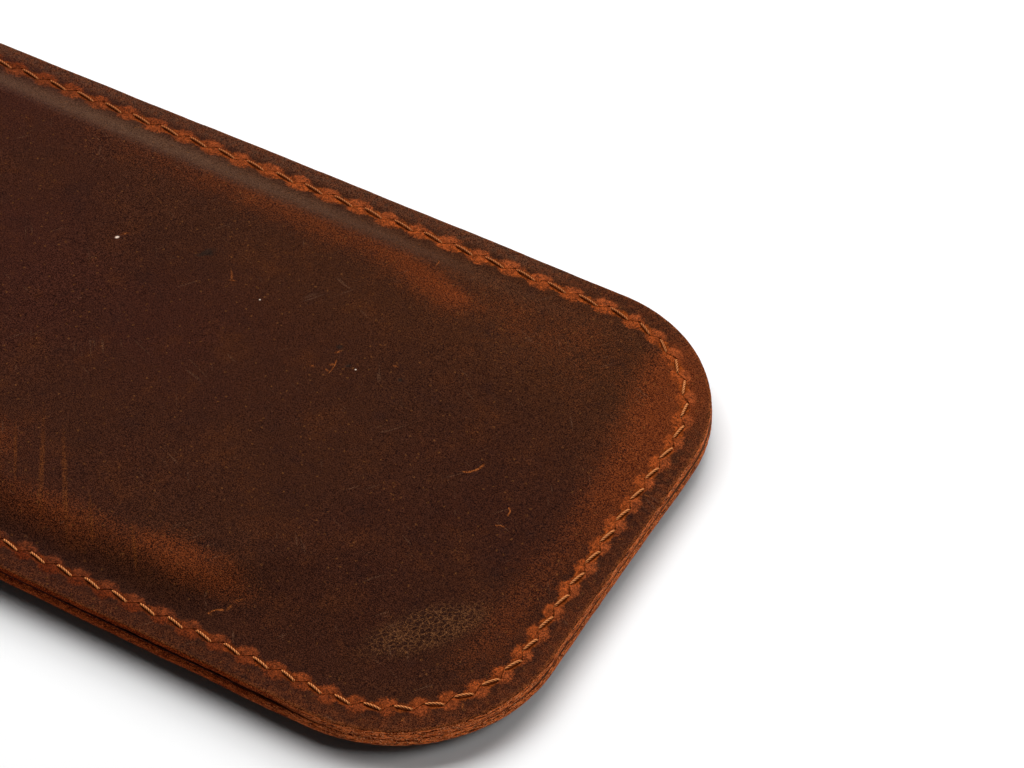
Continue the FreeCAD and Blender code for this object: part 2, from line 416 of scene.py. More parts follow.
def lower_wear(points):
    """The underside: worn orange where it rests and where it bends along both sides, dark between."""
    x, y = points.T
    back = HALF_LENGTH - x
    inset = inside_distance(x, y, mouth=False)
    bends = np.exp(-((np.abs(y + 1.5) - 28.5) / 2.4) ** 2) * ease((150 - back) / 60) * ease((back - 20) / 20)
    flex = (
        0.45 * bends
        + 0.5 * patch(x, y, (14, 6), 7, 18, 1.4)
        + 0.35 * patch(x, y, (96, -9), 30, 11, 1.2)
        + 0.3 * patch(x, y, (150, 14), 12, 16, 1.2))
    rubbed = patch(x, y, (52, 8), 16, 5, 1.2) + patch(x, y, (118, -4), 12, 7, 1.2)
    return {
        "flex": np.clip(flex, 0, 1),
        "sheen_and_bloom": 0.5 * patch(x, y, (60, 3), 34, 12, 1.2),
        "rubbed": np.clip(rubbed, 0, 1),
        "shade": 0.6 * patch(x, y, (84, 24), 26, 4, 1.4),
        "margin": 0.4 * ease((MARGIN_WIDTH - inset) / MARGIN_FADE)}


def add_mesh(name, points, faces, materials, face_material=None, attributes=None):
    """A smooth-shaded mesh from points in millimetres, with a float on every point for each attribute."""
    mesh = bpy.data.meshes.new(name)
    mesh.from_pydata((np.asarray(points) * MM).tolist(), [], [tuple(int(i) for i in f) for f in faces])
    for material in materials:
        mesh.materials.append(material)
    if face_material is not None:
        mesh.polygons.foreach_set("material_index", np.asarray(face_material, dtype=np.int32))
    mesh.polygons.foreach_set("use_smooth", np.ones(len(mesh.polygons), dtype=bool))
    for key, values in (attributes or {}).items():
        layer = mesh.attributes.new(key, "FLOAT", "POINT")
        layer.data.foreach_set("value", np.asarray(values, dtype=np.float32))
    mesh.update()
    made = bpy.data.objects.new(name, mesh)
    bpy.context.scene.collection.objects.link(made)
    return made


fine_plan = plan_mesh(fine_spacing, 1.6)
coarse_plan = plan_mesh(coarse_spacing, 2.6)

# ---- the cut edge
WALL_ROWS = 8
EDGE_FADE = 2.0
NEAREST_STEP = 4
EDGE_BELLY = 0.07
NOTCH_DEPTH = 0.3
LOWER_PANEL_OUT = 0.06
GRAIN_FACE, FLESH_FACE, EDGE_FACE = 0, 1, 2


def edge_rows(outline, normals, along, drift, notch, top, bottom, seed):
    """Rows of points down the cut edge, rough and a little bellied, tucked in where the panels part."""
    rows = []
    level = np.zeros(len(along))
    for row in range(1, WALL_ROWS):
        t = row / WALL_ROWS
        roughness = 0.05 * fractal_noise(along / 0.9, level + t * 4, seed + 30)
        roughness += 0.025 * fractal_noise(along / 0.35, level + t * 9, seed + 40, 2)
        belly = EDGE_BELLY * math.sin(math.pi * t)
        tuck = NOTCH_DEPTH * ease((t - 0.5) / 0.5) * notch
        out = drift + roughness + belly - tuck
        rows.append(np.column_stack([outline + normals * out[:, None], top + (bottom - top) * t]))
    return rows


def ladder_faces(high, low, outward):
    """Quads between two closed rows of points, facing out of the loop or into it."""
    quads = zip(high, np.roll(high, -1), np.roll(low, -1), low)
    return [quad if outward else quad[::-1] for quad in quads]


def leather_panel(name, facing, seam_face, rise, runs, wear, seed, materials):
    """One panel. facing is +1 for a grain side that faces up; seam_face is that side's height in the seam."""
    plan, triangles, loops, normals = fine_plan
    starts, ends = runs
    inner_plan, inner_triangles, inner_loops, _ = coarse_plan

    def grain_height(points):
        swell = rise * bow(points[:, 0], points[:, 1])
        return np.maximum(seam_face + facing * (swell + seam_relief(points, starts, ends)), lower_low.z)

    def flesh_height(points):
        swell = rise * bow(points[:, 0], points[:, 1])
        return seam_face + facing * (swell - LEATHER)

    # the hand-cut edge wanders in and out, and the panels part at the near side
    outline = plan[loops[0]]
    along = np.arange(len(outline)) * OUTLINE_STEP
    level = np.zeros(len(along))
    drift = 0.12 * fractal_noise(along / 30, level, seed) + 0.04 * fractal_noise(along / 4, level, seed + 5)
    if facing < 0:
        drift = drift + LOWER_PANEL_OUT
    top = grain_height(outline)
    bottom = flesh_height(outline)
    notch = 0.05 + 0.95 * ease((-outline[:, 1] - 22) / 16) * ease((74 - outline[:, 0]) / 24)

    # grain face, with its border moved out or in with the edge
    border_distance = inside_distance(plan[:, 0], plan[:, 1])
    close = border_distance < EDGE_FADE
    shift = np.zeros((len(plan), 2))
    offset = plan[close][:, None, :] - outline[None, ::NEAREST_STEP, :]
    nearest = np.argmin((offset ** 2).sum(-1), 1) * NEAREST_STEP
    fade = 1 - border_distance[close] / EDGE_FADE
    shift[close] = normals[nearest] * (drift[nearest] * fade)[:, None]
    grain_points = np.column_stack([plan + shift, grain_height(plan)])
    grain_points[loops[0], 2] = top

    rows = edge_rows(outline, normals, along, drift, notch, top, bottom, seed)
    flesh_points = np.column_stack([inner_plan, flesh_height(inner_plan)])
    flesh_points[inner_loops[0], :2] += normals * (drift - NOTCH_DEPTH * notch)[:, None]

    grain_count, loop_count = len(grain_points), len(outline)
    points = np.concatenate([grain_points] + rows + [flesh_points])
    flesh_start = grain_count + loop_count * len(rows)
    order = triangles if facing > 0 else triangles[:, ::-1]
    inner_order = (inner_triangles[:, ::-1] if facing > 0 else inner_triangles) + flesh_start

    ladders = [loops[0]] + [grain_count + loop_count * k + np.arange(loop_count) for k in range(len(rows))]
    ladders.append(inner_loops[0] + flesh_start)
    walls = []
    for high, low in zip(ladders, ladders[1:]):
        walls += ladder_faces(high, low, facing > 0)
    for loop, inner in zip(loops[1:], inner_loops[1:]):
        walls += ladder_faces(loop, inner + flesh_start, facing < 0)
    faces = [tuple(t) for t in order] + [tuple(t) for t in inner_order] + walls
    kinds = [GRAIN_FACE] * len(order) + [FLESH_FACE] * len(inner_order) + [EDGE_FACE] * len(walls)

    # masks: the grain's own, then those of the cut edge
    attributes = seam_masks(plan, starts, ends) | wear(plan)
    extra = len(points) - grain_count
    attributes = {key: np.concatenate([value, np.zeros(extra)]) for key, value in attributes.items()}
    # the rim band: partly worn edge, partly a painted highlight where the rim catches the light; wider towards
    # the closed end
    rim_width = 0.16 + 0.12 * ease((plan[:, 0] - 50) / 20)
    attributes["rim"] = np.concatenate([np.exp(-(border_distance / rim_width) ** 2), np.ones(extra)])
    dark_from, dark_over = (0.3, 0.35) if facing > 0 else (0.85, 0.15)
    # the cut edge darkened along the long sides: a painted shade on the near side, which faces away from the
    # light, and a darker tone along the far side
    edge_darkening_share = 0.92 if facing > 0 else 0.8
    darkened = np.maximum(notch * edge_darkening_share, 0.5 * ease((outline[:, 1] - 24) / 14))
    gap_shade, darker_edge, walked = np.zeros((3, len(points)))
    # painted shade in the gap between the panels, strongest on the near side where they part
    for row, ladder in enumerate(ladders[1:-1], start=1):
        gap_shade[ladder] = notch * ease((row / WALL_ROWS - dark_from) / dark_over)
    gap_shade[ladders[-1]] = notch
    for ladder in ladders:
        darker_edge[ladder] = darkened
        walked[ladder] = along
    attributes |= {"gap_shade": gap_shade, "darker_edge": darker_edge, "walked": walked}
    return add_mesh(name, points, faces, materials, kinds, attributes)


# ---------------------------------------------------------------- materials

# Scratches worn into the upper panel: circle's middle, radius, the way they bulge, angle spanned, width.
MARKS = (
    ((59.8, 3.4), 2.9, -0.55, 1.25, 0.20),
    ((68.1, -1.8), 1.2, 0.4, 1.4, 0.14),
    ((69.8, -5.4), 1.6, 1.9, 0.9, 0.12),
    ((46.7, -34.2), 1.83, 2.25, 1.3, 0.16),
    ((33.0, 6.6), 4.8, 0.15, 0.6, 0.09),
    ((37.5, 30.4), 2.2, 0.3, 0.7, 0.10),
)
# Soft ovals on the upper panel: middle, turn, length and width.
STRETCHED = (
    ((10.5, -25.7), -0.95, 12.0, 0.6),
    ((14.3, -25.2), -0.98, 21.0, 0.9),
    ((18.4, -26.0), -0.93, 20.0, 0.9),
    ((24.8, -29.4), -0.92, 9.0, 0.6),
    ((32.1, -30.5), -0.90, 9.0, 0.6),
)
FIBRES = (
    ((-0.2, 14.3), 0.8, 1.9, 0.55),
    ((16.9, 14.8), -0.9, 2.6, 0.4),
    ((17.6, 14.0), 0.3, 1.2, 0.35),
    ((36.8, 9.8), 0.9, 1.1, 0.45),
    ((37.3, 7.5), 0.5, 1.2, 0.5),
    ((37.2, 6.4), -0.3, 1.0, 0.4),
    ((35.2, 6.1), 0.2, 0.8, 0.4),
    ((44.7, 11.4), 0.1, 1.0, 0.35),
    ((46.9, -31.7), 1.3, 1.3, 0.4),
    ((47.4, -30.4), 0.7, 1.5, 0.4),
    ((79.1, -30.1), -1.2, 1.2, 0.35),
    ((73.9, -35.3), -1.5, 1.0, 0.35),
    ((83.3, 2.1), 0.5, 1.3, 0.25),
    ((82.7, 10.0), 0.1, 1.2, 0.3),
    ((83.3, -6.0), -0.2, 0.9, 0.25),
)
DARK_SPOTS = (
    ((11.6, 16.6), 0.9, 3.4, 1.6),
    ((36.5, 10.8), 0.4, 1.3, 0.9),
    ((39.3, 8.4), 0.9, 0.9, 0.7),
    ((46.5, 9.6), 0.0, 0.7, 0.9),
)
PALE_FLECKS = (
    ((-0.7, 13.2), 0.9, 0.75, 0.55),
    ((40.5, 8.3), 0.2, 0.32, 0.28),
    ((22.7, 12.8), 0.2, 0.34, 0.28),
)


class Nodes:
    """Short ways to add and join shader nodes."""

    def __init__(self, name):
        self.material = bpy.data.materials.new(name)
        self.material.use_nodes = True
        self.tree = self.material.node_tree
        self.shader = self.tree.nodes["Principled BSDF"]
        place = self.tree.nodes.new("ShaderNodeTexCoord")
        scaled = self.tree.nodes.new("ShaderNodeVectorMath")
        scaled.operation = "SCALE"
        scaled.inputs["Scale"].default_value = 1 / MM
        self.tree.links.new(place.outputs["Object"], scaled.inputs[0])
        self.mm = scaled.outputs[0]

    def put(self, socket, value):
        """Link a socket, or set a number, vector or colour on it."""
        if isinstance(value, bpy.types.NodeSocket):
            self.tree.links.new(value, socket)
        elif isinstance(value, (tuple, list)) and len(value) == 3 and socket.type == "RGBA":
            socket.default_value = (*value, 1)
        else:
            socket.default_value = value

    def axes(self):
        """The three coordinates in millimetres."""
        node = self.tree.nodes.new("ShaderNodeSeparateXYZ")
        self.tree.links.new(self.mm, node.inputs[0])
        return node.outputs

    def math(self, kind, *values):
        """One step of arithmetic on numbers."""
        node = self.tree.nodes.new("ShaderNodeMath")
        node.operation = kind
        for socket, value in zip(node.inputs, values):
            self.put(socket, value)
        return node.outputs[0]

    def swing(self, texture, amount):
        """A texture's distance from its middle value, times amount."""
        return self.math("MULTIPLY", self.math("SUBTRACT", texture, 0.5), amount)

    def span(self, value, low, high, to_low=0.0, to_high=1.0):
        """Smooth step of value from low..high to to_low..to_high."""
        node = self.tree.nodes.new("ShaderNodeMapRange")
        node.interpolation_type = "SMOOTHSTEP"
        limits = {"From Min": low, "From Max": high, "To Min": to_low, "To Max": to_high}
        for key, amount in ({"Value": value} | limits).items():
            self.put(node.inputs[key], amount)
        return node.outputs[0]

    def moved(self, scale=(1, 1, 1), turn=0.0, shift=(0, 0, 0), vector=None):
        """Coordinates that make a texture scale times larger along its own axes, turned and shifted."""
        node = self.tree.nodes.new("ShaderNodeMapping")
        node.vector_type = "TEXTURE"
        self.put(node.inputs["Vector"], vector or self.mm)
        node.inputs["Scale"].default_value = scale
        node.inputs["Rotation"].default_value = (0, 0, turn)
        node.inputs["Location"].default_value = shift
        return node.outputs[0]

    def noise(self, per_mm, detail=3.0, rough=0.55, vector=None, warp=0.0):
        """Cloudy texture with per_mm features to the millimetre."""
        node = self.tree.nodes.new("ShaderNodeTexNoise")
        self.put(node.inputs["Vector"], vector or self.mm)
        node.inputs["Scale"].default_value = per_mm
        node.inputs["Detail"].default_value = detail
        node.inputs["Roughness"].default_value = rough
        node.inputs["Distortion"].default_value = warp
        return node.outputs["Fac"]

    def cells(self, per_mm, feature="F1", vector=None):
        """Distance within a pattern of cells, per_mm of them to the millimetre."""
        node = self.tree.nodes.new("ShaderNodeTexVoronoi")
        node.feature = feature
        self.put(node.inputs["Vector"], vector or self.mm)
        node.inputs["Scale"].default_value = per_mm
        return node.outputs["Distance"]

    def mix(self, amount, first, second, kind="MIX"):
        """Blend of two colours."""
        node = self.tree.nodes.new("ShaderNodeMix")
        node.data_type = "RGBA"
        node.blend_type = kind
        self.put(node.inputs["Factor"], amount)
        self.put(node.inputs[6], first)
        self.put(node.inputs[7], second)
        return node.outputs[2]

    def tint(self, colour, tone, mask, share):
        """The colour taken towards tone, by share where the mask is full."""
        return self.mix(self.math("MULTIPLY", mask, share), colour, tone)

    def vector(self, kind, *values):
        """One step of arithmetic on vectors."""
        node = self.tree.nodes.new("ShaderNodeVectorMath")
        node.operation = kind
        for socket, value in zip(node.inputs, values):
            self.put(socket, value)
        return node.outputs["Value" if kind in ("LENGTH", "DOT_PRODUCT") else "Vector"]

    def mask(self, name):
        """A mask stored on the mesh."""
        node = self.tree.nodes.new("ShaderNodeAttribute")
        node.attribute_name = name
        return node.outputs["Fac"]

    def bump(self, height, depth_mm, strength=1.0):
        """Fine relief of the surface."""
        node = self.tree.nodes.new("ShaderNodeBump")
        node.inputs["Distance"].default_value = depth_mm * MM
        node.inputs["Strength"].default_value = strength
        self.put(node.inputs["Height"], height)
        self.put(self.shader.inputs["Normal"], node.outputs[0])

    def finish(self, colour, roughness, specular=0.5):
        """Fill in the shader and return the material."""
        self.put(self.shader.inputs["Base Color"], colour)
        self.put(self.shader.inputs["Roughness"], roughness)
        self.shader.inputs["Specular IOR Level"].default_value = specular
        return self.material


# Half height of an oval, so long that how high a point lies makes no difference.
IGNORE_HEIGHT = 1000.0


# Direction and seed of each set of hair-thin scratches.
HAIR_SCRATCHES = ((0.95, 3.0), (-0.35, 11.0), (2.2, 7.0))


def hair_scratches(n, turn, seed):
    """Sparse hair-thin scratches that all run one way."""
    lines = n.noise(2.6, detail=0.0, vector=n.moved((14, 1, 1), turn, (seed, seed * 1.7, 0)), warp=0.25)
    where = n.noise(0.16, detail=1.0, vector=n.moved(shift=(seed * 3, seed, 0)))
    return n.math("MULTIPLY", n.span(lines, 0.73, 0.79), n.span(where, 0.55, 0.66))


def curved_mark(n, middle, radius, aim, sweep, width):
    """A ragged arc scratched into the grain, from its circle, the way it bulges and the angle it spans."""
    away = n.vector("SUBTRACT", n.mm, (*middle, 0))
    away = n.vector("MULTIPLY", away, (1, 1, 0))
    ragged = n.swing(n.noise(2.4, detail=2.0), width * 2.2)
    off = n.math("ABSOLUTE", n.math("SUBTRACT", n.math("ADD", n.vector("LENGTH", away), ragged), radius))
    facing = n.vector("DOT_PRODUCT", n.vector("NORMALIZE", away), (math.cos(aim), math.sin(aim), 0))
    limit = math.cos(sweep / 2)
    near_line = n.span(off, width * 0.4, width, 1.0, 0.0)
    within_sweep = n.span(facing, limit, limit * 0.6 + 0.4)
    return n.math("MULTIPLY", near_line, within_sweep)


def oval(n, ragged, middle, turn, length, width):
    """A soft oval on the upper panel's grain, 1 at its middle, its border pushed in and out by ragged."""
    away = n.vector("LENGTH", n.moved((length / 2, width / 2, IGNORE_HEIGHT), turn, (*middle, 0)))
    return n.span(n.math("ADD", away, ragged), 0.25, 1.1, 1.0, 0.0)


def greatest(n, values):
    """The largest of several values."""
    largest = values[0]
    for value in values[1:]:
        largest = n.math("MAXIMUM", largest, value)
    return largest


# Linear colours round the stitches: dim at the near, open corner and bright at the far, closed one.
LOBE_INSIDE = (0.100, 0.0215, 0.0068), (0.255, 0.0500, 0.0095)
LOBE_OUTSIDE = (0.094, 0.0140, 0.0028), (0.232, 0.0490, 0.0120)
SEAM_LINE = (0.115, 0.0200, 0.0030), (0.240, 0.0480, 0.0060)
GROOVE_SHADE_FACTORS = (0.7, 0.55, 0.5)


def lobe_colours(n, colour, place_x, place_y, mottled, wrinkles, micro):
    """Orange round the stitches: a fuzzy line along the seam, and lobes that differ inside and outside it."""
    bright_seam = n.span(n.math("ADD", place_x, n.math("MULTIPLY", place_y, 1.1)), -30, 75)
    grain = n.math("MULTIPLY", n.span(micro, 0.0, 1.0, 0.55, 1.42), n.span(mottled, 0.32, 0.68, 0.75, 1.25))
    grain = n.math("MULTIPLY", grain, n.span(wrinkles, 0.38, 0.56, 0.55, 1.22))
    inner_tone = n.mix(bright_seam, *LOBE_INSIDE)
    outer_tone = n.mix(bright_seam, *LOBE_OUTSIDE)
    lobe_tone = n.mix(n.mask("outer"), inner_tone, outer_tone)
    line_tone = n.mix(bright_seam, *SEAM_LINE)
    line = n.span(n.math("ADD", n.mask("seam"), n.swing(mottled, 1.1)), 0.3, 0.8)
    colour = n.tint(colour, n.mix(1.0, line_tone, grain, "MULTIPLY"), line, 0.85)
    ragged = n.math("ADD", n.mask("lobe"), n.swing(mottled, 0.9))
    lobe = n.span(n.math("ADD", ragged, n.swing(wrinkles, 0.5)), -0.22, 0.42)
    colour = n.tint(colour, n.mix(1.0, lobe_tone, grain, "MULTIPLY"), lobe, 0.9)
    # painted shade along the thread's groove
    groove_shade_tone = n.mix(1.0, line_tone, GROOVE_SHADE_FACTORS, "MULTIPLY")
    return n.tint(colour, groove_shade_tone, n.mask("groove"), 0.5)


# Linear colours of the oiled leather.
DARK_OPEN_END = (0.0335, 0.0072, 0.0034)
DARK_CLOSED_END = (0.0310, 0.0066, 0.0023)
DARK_FAR_CORNER = (0.0400, 0.0098, 0.0025)
BROAD_CLOUD = (0.0340, 0.0085, 0.0026)
PALE_CLOUD = (0.0520, 0.0118, 0.0028)
DARK_CLOUD = (0.0210, 0.0052, 0.0027)
BENT_ORANGE = (0.104, 0.0178, 0.0031)
STRETCH_ORANGE = (0.120, 0.0270, 0.0040)
# pale grey: a painted sheen on the upper panel's far slope, paler patches on its far margin and on the
# underside
PALE_SHEEN_AND_BLOOM = (0.084, 0.0370, 0.0185)
SHADE_BROWN = (0.0190, 0.0048, 0.0022)
MARGIN_BROWN = (0.085, 0.0170, 0.0045)
RIM_WEAR_AND_HIGHLIGHT = (0.200, 0.0450, 0.0100)
RUBBED_PALE = (0.125, 0.0410, 0.0120)
RUBBED_DARK = (0.0130, 0.0040, 0.0020)
SPECK_TAN = (0.120, 0.0350, 0.0075)
HAIR_TAN = (0.100, 0.0400, 0.0190)
SPOT_BLACK = (0.0130, 0.0070, 0.0040)
SCRATCH_ORANGE = (0.200, 0.0450, 0.0080)
FLECK_WHITE = (0.800, 0.6200, 0.5000)
PORE_DARKENING = (0.24, 0.12, 0.06)
CREST_LIGHTENING = (1.98, 2.44, 2.80)
CREST_SHEEN = (0.0020, 0.0017, 0.0016)


def grain_leather():
    """Dark oiled pull-up leather, orange where it has been bent, with fine grain, mottling and scratches."""
    n = Nodes("oiled_grain_leather")
    broad = n.noise(0.035, detail=3)
    cloudy = n.noise(0.2, detail=4, rough=0.6)
    mottled = n.noise(1.1, detail=4, rough=0.65)
    fine = n.noise(7.4, detail=2, rough=0.75, warp=0.5)
    wrinkles = n.noise(3.2, detail=2, rough=0.6, warp=1.2)
    net = n.vector("ADD", n.moved((1.25, 1, 1), 0.5), n.math("MULTIPLY", wrinkles, 0.7))
    net = n.span(n.cells(1.7, "DISTANCE_TO_EDGE", vector=net), 0.0, 0.17, 1.0, 0.0)
    micro = n.math("ADD", n.math("MULTIPLY", fine, 0.86), n.math("MULTIPLY", wrinkles, 0.14))
    micro = n.span(micro, 0.41, 0.59)

    place_x, place_y, height = n.axes()
    on_top = n.span(height, SEAM_BOTTOM, SEAM_TOP)
    towards_end = n.span(place_x, -45, 70)
    towards_far = n.span(place_y, 0, 26)
    base = n.mix(towards_end, DARK_OPEN_END, DARK_CLOSED_END)
    base = n.mix(n.math("MULTIPLY", towards_end, towards_far), base, DARK_FAR_CORNER)
    base = n.tint(base, BROAD_CLOUD, n.span(broad, 0.4, 0.7), 0.6)
    base = n.tint(base, PALE_CLOUD, n.span(cloudy, 0.5, 0.75), 0.55)
    base = n.tint(base, DARK_CLOUD, n.span(cloudy, 0.44, 0.28), 0.45)

    flex = n.math("ADD", n.mask("flex"), n.swing(cloudy, 0.35))
    flex = n.math("ADD", flex, n.swing(mottled, 0.5))
    flex = n.span(n.math("ADD", flex, n.swing(micro, 0.3)), 0.12, 1.0)
    colour = n.mix(flex, base, BENT_ORANGE)
    ragged = n.swing(mottled, 1.6)
    stretch = greatest(n, [oval(n, ragged, *line) for line in STRETCHED])
    stretch = n.math("MULTIPLY", n.math("MULTIPLY", stretch, on_top), n.span(wrinkles, 0.35, 0.6, 0.35, 1.0))
    colour = n.tint(colour, STRETCH_ORANGE, stretch, 0.48)
    # painted sheen on the far slope, paler grey elsewhere
    colour = n.tint(colour, PALE_SHEEN_AND_BLOOM, n.mask("sheen_and_bloom"), 0.6)
    # painted shade where the shade mask is set
    colour = n.tint(colour, SHADE_BROWN, n.mask("shade"), 0.5)
    margin = n.math("MULTIPLY", n.mask("margin"), n.span(mottled, 0.3, 0.7))
    colour = n.mix(margin, colour, MARGIN_BROWN)
    # orange rim: worn edge and a painted highlight
    rim = n.math("MULTIPLY", n.mask("rim"), n.span(mottled, 0.3, 0.65, 0.25, 1.0))
    colour = n.tint(colour, RIM_WEAR_AND_HIGHLIGHT, rim, 0.8)

    rubbed = n.span(n.math("ADD", n.mask("rubbed"), n.swing(mottled, 0.6)), 0.15, 0.75)
    creases = n.math("MULTIPLY", rubbed, net)
    colour = n.tint(colour, RUBBED_PALE, creases, 0.65)
    hollow = n.math("MULTIPLY", rubbed, n.math("SUBTRACT", 1.0, net))
    colour = n.tint(colour, RUBBED_DARK, hollow, 0.42)
    specks = n.span(n.math("ADD", n.cells(0.8), n.math("MULTIPLY", wrinkles, 0.25)), 0.2, 0.3, 1.0, 0.0)
    colour = n.tint(colour, SPECK_TAN, specks, 0.5)
    scratches = greatest(n, [hair_scratches(n, turn, seed) for turn, seed in HAIR_SCRATCHES])
    colour = n.tint(colour, HAIR_TAN, scratches, 0.28)
    spots = greatest(n, [oval(n, ragged, *spot) for spot in DARK_SPOTS])
    spots = n.math("MULTIPLY", spots, on_top)
    colour = n.tint(colour, SPOT_BLACK, spots, 0.7)
    fibres = n.math("MULTIPLY", greatest(n, [oval(n, ragged, *fibre) for fibre in FIBRES]), 0.65)
    marks = greatest(n, [curved_mark(n, *mark) for mark in MARKS] + [fibres])
    marks = n.math("MULTIPLY", marks, on_top)
    colour = n.tint(colour, SCRATCH_ORANGE, marks, 0.8)
    flecks = greatest(n, [oval(n, 0.0, *fleck) for fleck in PALE_FLECKS])
    flecks = n.math("MULTIPLY", flecks, on_top)

    dark = n.mix(1.0, colour, PORE_DARKENING, "MULTIPLY")
    # raised grain: lighter and greyer, plus a painted whitish sheen standing in for tiny highlights
    light = n.mix(1.0, n.mix(1.0, colour, CREST_LIGHTENING, "MULTIPLY"), CREST_SHEEN, "ADD")
    colour = n.mix(micro, dark, light)
    colour = lobe_colours(n, colour, place_x, place_y, mottled, wrinkles, micro)
    colour = n.mix(flecks, colour, FLECK_WHITE)

    relief = n.math("ADD", n.math("MULTIPLY", micro, 0.5), n.math("MULTIPLY", mottled, 0.9))
    relief = n.math("SUBTRACT", relief, n.math("MULTIPLY", greatest(n, [marks, scratches]), 0.6))
    n.bump(relief, 0.04, 0.9)
    roughness = n.math("ADD", n.span(mottled, 0.3, 0.7, 0.48, 0.62), n.math("MULTIPLY", flex, 0.06))
    return n.finish(colour, roughness, specular=0.018)


# Linear colours of the flesh side.
FLESH_TAN = (0.125, 0.055, 0.026), (0.185, 0.085, 0.042)
FLESH_NAP = (0.085, 0.034, 0.016)


def flesh_leather():
    """The soft, fibrous back of the leather, inside the pocket."""
    n = Nodes("suede_flesh_side")
    nap = n.noise(2.6, detail=5, rough=0.7, warp=0.6)
    patches = n.noise(0.12, detail=3)
    fibres = n.noise(6.0, detail=3, vector=n.moved(scale=(0.3, 1, 1), turn=0.4))
    colour = n.mix(patches, *FLESH_TAN)
    colour = n.mix(n.span(nap, 0.35, 0.7), colour, FLESH_NAP)
    n.bump(n.math("ADD", nap, n.math("MULTIPLY", fibres, 0.5)), 0.12, 0.9)
    return n.finish(colour, n.span(nap, 0.3, 0.7, 0.82, 0.96), specular=0.15)


# Linear colours of the cut edge; the pairs are dark and light.
EDGE_FIBRES = (0.050, 0.0030, 0.0006), (0.760, 0.165, 0.0360)
EDGE_DARKER = (0.035, 0.0016, 0.0003), (0.370, 0.0480, 0.0040)
EDGE_BLOTCH = (0.240, 0.0340, 0.0070)
EDGE_FUZZ = (1.000, 0.420, 0.1800)
EDGE_STREAK = (0.035, 0.0020, 0.0006)
GAP_SHADE_BLACK = (0.020, 0.0010, 0.0004)


def cut_edge():
    """Raw reddish cut edge: fibres combed along it, pale fuzz and dark streaks; darker along the long sides,
    with painted shade on the near side and in the gap between the panels.
    """
    n = Nodes("raw_cut_edge")
    combed = n.tree.nodes.new("ShaderNodeCombineXYZ")
    n.put(combed.inputs["X"], n.mask("walked"))
    n.put(combed.inputs["Y"], n.axes()["Z"])
    combed = combed.outputs[0]
    fibres = n.noise(3.0, detail=3, rough=0.7, vector=n.moved((2.4, 0.8, 1), vector=combed), warp=0.9)
    streaks = n.noise(2.2, detail=2, rough=0.6, vector=n.moved((7, 0.7, 1), vector=combed), warp=0.3)
    fuzz = n.noise(6.5, detail=2, rough=0.7, warp=0.6)
    blotches = n.noise(0.45, detail=3)
    colour = n.mix(n.span(fibres, 0.41, 0.59), *EDGE_FIBRES)
    colour = n.tint(colour, EDGE_BLOTCH, n.span(blotches, 0.5, 0.72), 0.4)
    colour = n.tint(colour, EDGE_FUZZ, n.span(fuzz, 0.55, 0.64), 0.8)
    colour = n.tint(colour, EDGE_STREAK, n.span(streaks, 0.44, 0.36), 0.9)
    # darker edge colour: painted shade on the near side, a darker tone along the far side
    darker_edge = n.mix(n.span(fuzz, 0.47, 0.60), *EDGE_DARKER)
    colour = n.mix(n.mask("darker_edge"), colour, darker_edge)
    # painted shade: nearly black in the gap between the panels
    colour = n.tint(colour, GAP_SHADE_BLACK, n.mask("gap_shade"), 0.95)
    n.bump(n.math("ADD", fibres, n.math("MULTIPLY", fuzz, 0.5)), 0.09, 1.0)
    return n.finish(colour, n.span(fibres, 0.3, 0.7, 0.6, 0.85), specular=0.012)


# Linear colours of the thread.
THREAD_TAN = (0.64, 0.200, 0.054), (0.78, 0.270, 0.076)
THREAD_FIBRE = (0.90, 0.42, 0.170)
PLY_GAP_SHADE = (0.070, 0.0060, 0.0008)
FAR_SIDE_DARKENING = (0.45, 0.33, 0.25)


def waxed_thread():
    """Tan waxed thread, with painted shade between its plies, and darker along the far side."""
    n = Nodes("waxed_thread")
    along = n.noise(1.1, detail=2)
    fibres = n.noise(14.0, detail=2, rough=0.6)
    oiled = n.span(n.axes()["Y"], 28, 36)
    colour = n.mix(along, *THREAD_TAN)
    colour = n.tint(colour, THREAD_FIBRE, n.span(fibres, 0.4, 0.7), 0.6)
    # painted shade between the plies
    colour = n.mix(n.span(n.mask("ply"), 0.1, 0.9, 1.0, 0.0), colour, PLY_GAP_SHADE)
    # the thread darker along the far side
    colour = n.tint(colour, n.mix(1.0, colour, FAR_SIDE_DARKENING, "MULTIPLY"), oiled, 0.6)
    n.bump(fibres, 0.02, 0.6)
    return n.finish(colour, n.span(fibres, 0.3, 0.7, 0.45, 0.6), specular=0.06)


CEMENT_BROWN = (0.014, 0.0015, 0.0007), (0.036, 0.0050, 0.0018)


def dried_cement():
    """Dark brown, slightly lumpy dried contact cement."""
    n = Nodes("dried_cement")
    lumps = n.noise(1.8, detail=4)
    colour = n.mix(lumps, *CEMENT_BROWN)
    n.bump(lumps, 0.05, 0.8)
    return n.finish(colour, n.span(lumps, 0.3, 0.7, 0.45, 0.7), specular=0.03)


TABLE_WHITE = (0.86, 0.86, 0.86), (0.90, 0.90, 0.90)


def pale_table():
    """Plain, nearly white table top."""
    n = Nodes("pale_table")
    tone = n.noise(0.02, detail=2)
    n.bump(n.noise(1.5, detail=2), 0.01, 0.3)
    return n.finish(n.mix(tone, *TABLE_WHITE), 0.8, specular=0.1)


grain = grain_leather()
flesh = flesh_leather()
edge = cut_edge()
thread_material = waxed_thread()

# ---------------------------------------------------------------- the pieces

top_runs = open_part(front_pass[:-1], back_pass[1:])
under_runs = open_part(back_pass[:-1], front_pass[1:])

